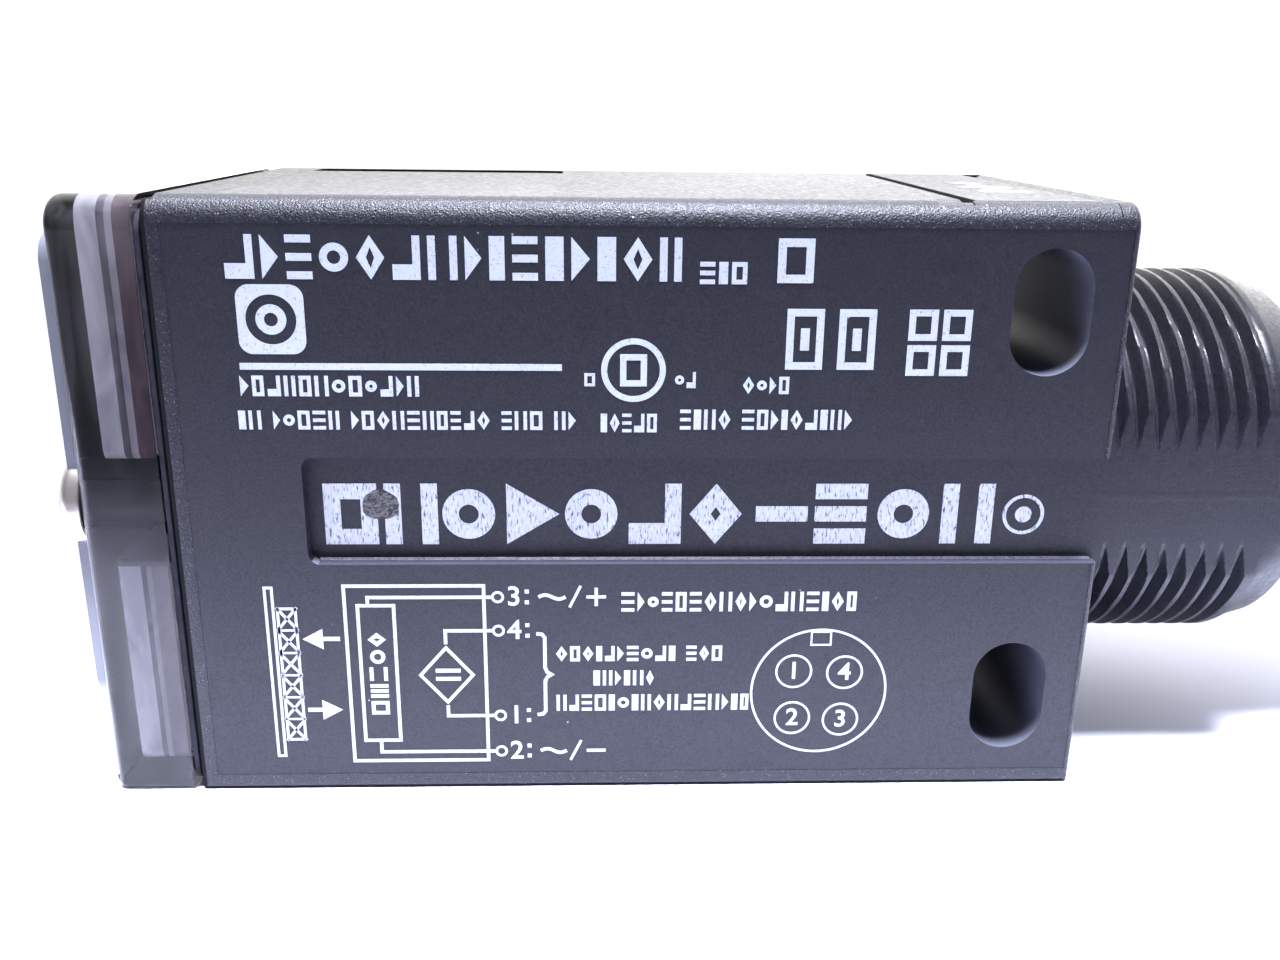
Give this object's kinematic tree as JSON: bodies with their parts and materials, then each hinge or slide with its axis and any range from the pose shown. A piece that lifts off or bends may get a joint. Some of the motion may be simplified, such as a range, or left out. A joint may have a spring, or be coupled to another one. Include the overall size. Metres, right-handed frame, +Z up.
{
  "type": "photoelectric sensor",
  "caption": "Box photoelectric sensor: slotted plastic housing with smoked lens cover, flip-up adjustment lid and threaded neck with a quick-disconnect receptacle.",
  "frame": {"origin": "centre of the bounding box at the height of the housing's bottom face", "axes": "+X from the lens cover towards the connector, +Z up towards the adjustment lid, -Y out of the label face"},
  "size_m": [0.1044, 0.0356, 0.043],
  "materials": {
    "black_plastic": "fine-textured glass-filled black",
    "inner_plastic": "matt black moulding",
    "lid_plastic": "satin black",
    "seal_rubber": "matt black rubber",
    "smoked_lens": "polished smoked acrylic",
    "clear_lens": "moulded acrylic with frosted sides",
    "polarizer_film": "tinted film",
    "window_smoke": "polished smoked window",
    "steel": "bright stainless",
    "brass": "plated brass",
    "black_metal": "satin black coating",
    "insert_plastic": "moulded yellow insulator",
    "board_green": "solder-masked glass-fibre board",
    "ferrite": "sintered ferrite",
    "coil_tape": "wound coil under amber tape",
    "capacitor_sleeve": "dark blue sleeve",
    "film_box": "potted orange box",
    "varistor_blue": "blue dipped coating",
    "chip_black": "moulded epoxy",
    "trimmer_blue": "blue moulded case",
    "slider_white": "white knob",
    "red_led": "red epoxy",
    "green_led": "green epoxy",
    "amber_led": "amber epoxy",
    "wire_black": "insulated wire",
    "wire_white": "insulated wire",
    "wire_red": "insulated wire",
    "wire_green": "insulated wire"
  },
  "bodies": {
    "sensor": {"housing": "black_plastic", "lens_gasket": "seal_rubber", "lens_cover": "smoked_lens", "lens_screw_left": "steel", "lens_screw_right": "steel", "receiver_lens": "clear_lens", "emitter_lens": "clear_lens", "receiver_polarizer": "polarizer_film", "emitter_polarizer": "polarizer_film", "optics_block": "inner_plastic", "emitter_led": "red_led", "receiver_photodiode": "chip_black", "optics_board": "board_green", "power_board": "board_green", "logic_board": "board_green", "indicator_board": "board_green", "board_header": "chip_black", "film_capacitor": "film_box", "transformer_core": "ferrite", "transformer_coil": "coil_tape", "filter_capacitor": "capacitor_sleeve", "surge_varistor": "varistor_blue", "bridge_rectifier": "chip_black", "controller_chip": "chip_black", "optocoupler": "chip_black", "output_mosfet_1": "chip_black", "output_mosfet_2": "chip_black", "indicator_window": "window_smoke", "indicator_led_1": "green_led", "indicator_led_2": "amber_led", "indicator_led_3": "red_led", "trimmer_body": "trimmer_blue", "mode_switch_body": "chip_black", "cover_gasket": "seal_rubber", "cover_hinge_pin": "steel", "connector_shell": "black_metal", "connector_insert": "insert_plastic", "connector_o_ring": "seal_rubber", "contact_pin_1": "brass", "contact_pin_2": "brass", "contact_pin_3": "brass", "contact_pin_4": "brass", "lead_wire_1": "wire_black", "lead_wire_2": "wire_white", "lead_wire_3": "wire_red", "lead_wire_4": "wire_green"},
    "lid": {"adjustment_cover": "lid_plastic"},
    "sensitivity_screw": {"trimmer_screw": "brass"},
    "mode_slider": {"mode_switch_slider": "slider_white"}
  },
  "joints": [
    {"name": "lid_hinge", "type": "hinge", "parent": "sensor", "child": "lid", "pos_m": [0.01885, 0, 0.042], "axis": [0, 1, 0], "range_deg": [0, 95]},
    {"name": "sensitivity_turn", "type": "hinge", "parent": "sensor", "child": "sensitivity_screw", "pos_m": [0.0113, -0.007, 0.04], "axis": [0, 0, 1], "range_deg": [-135, 135]},
    {"name": "mode_slide", "type": "slide", "parent": "sensor", "child": "mode_slider", "axis": [0, 1, 0], "range_m": [0, 0.002]}
  ]
}
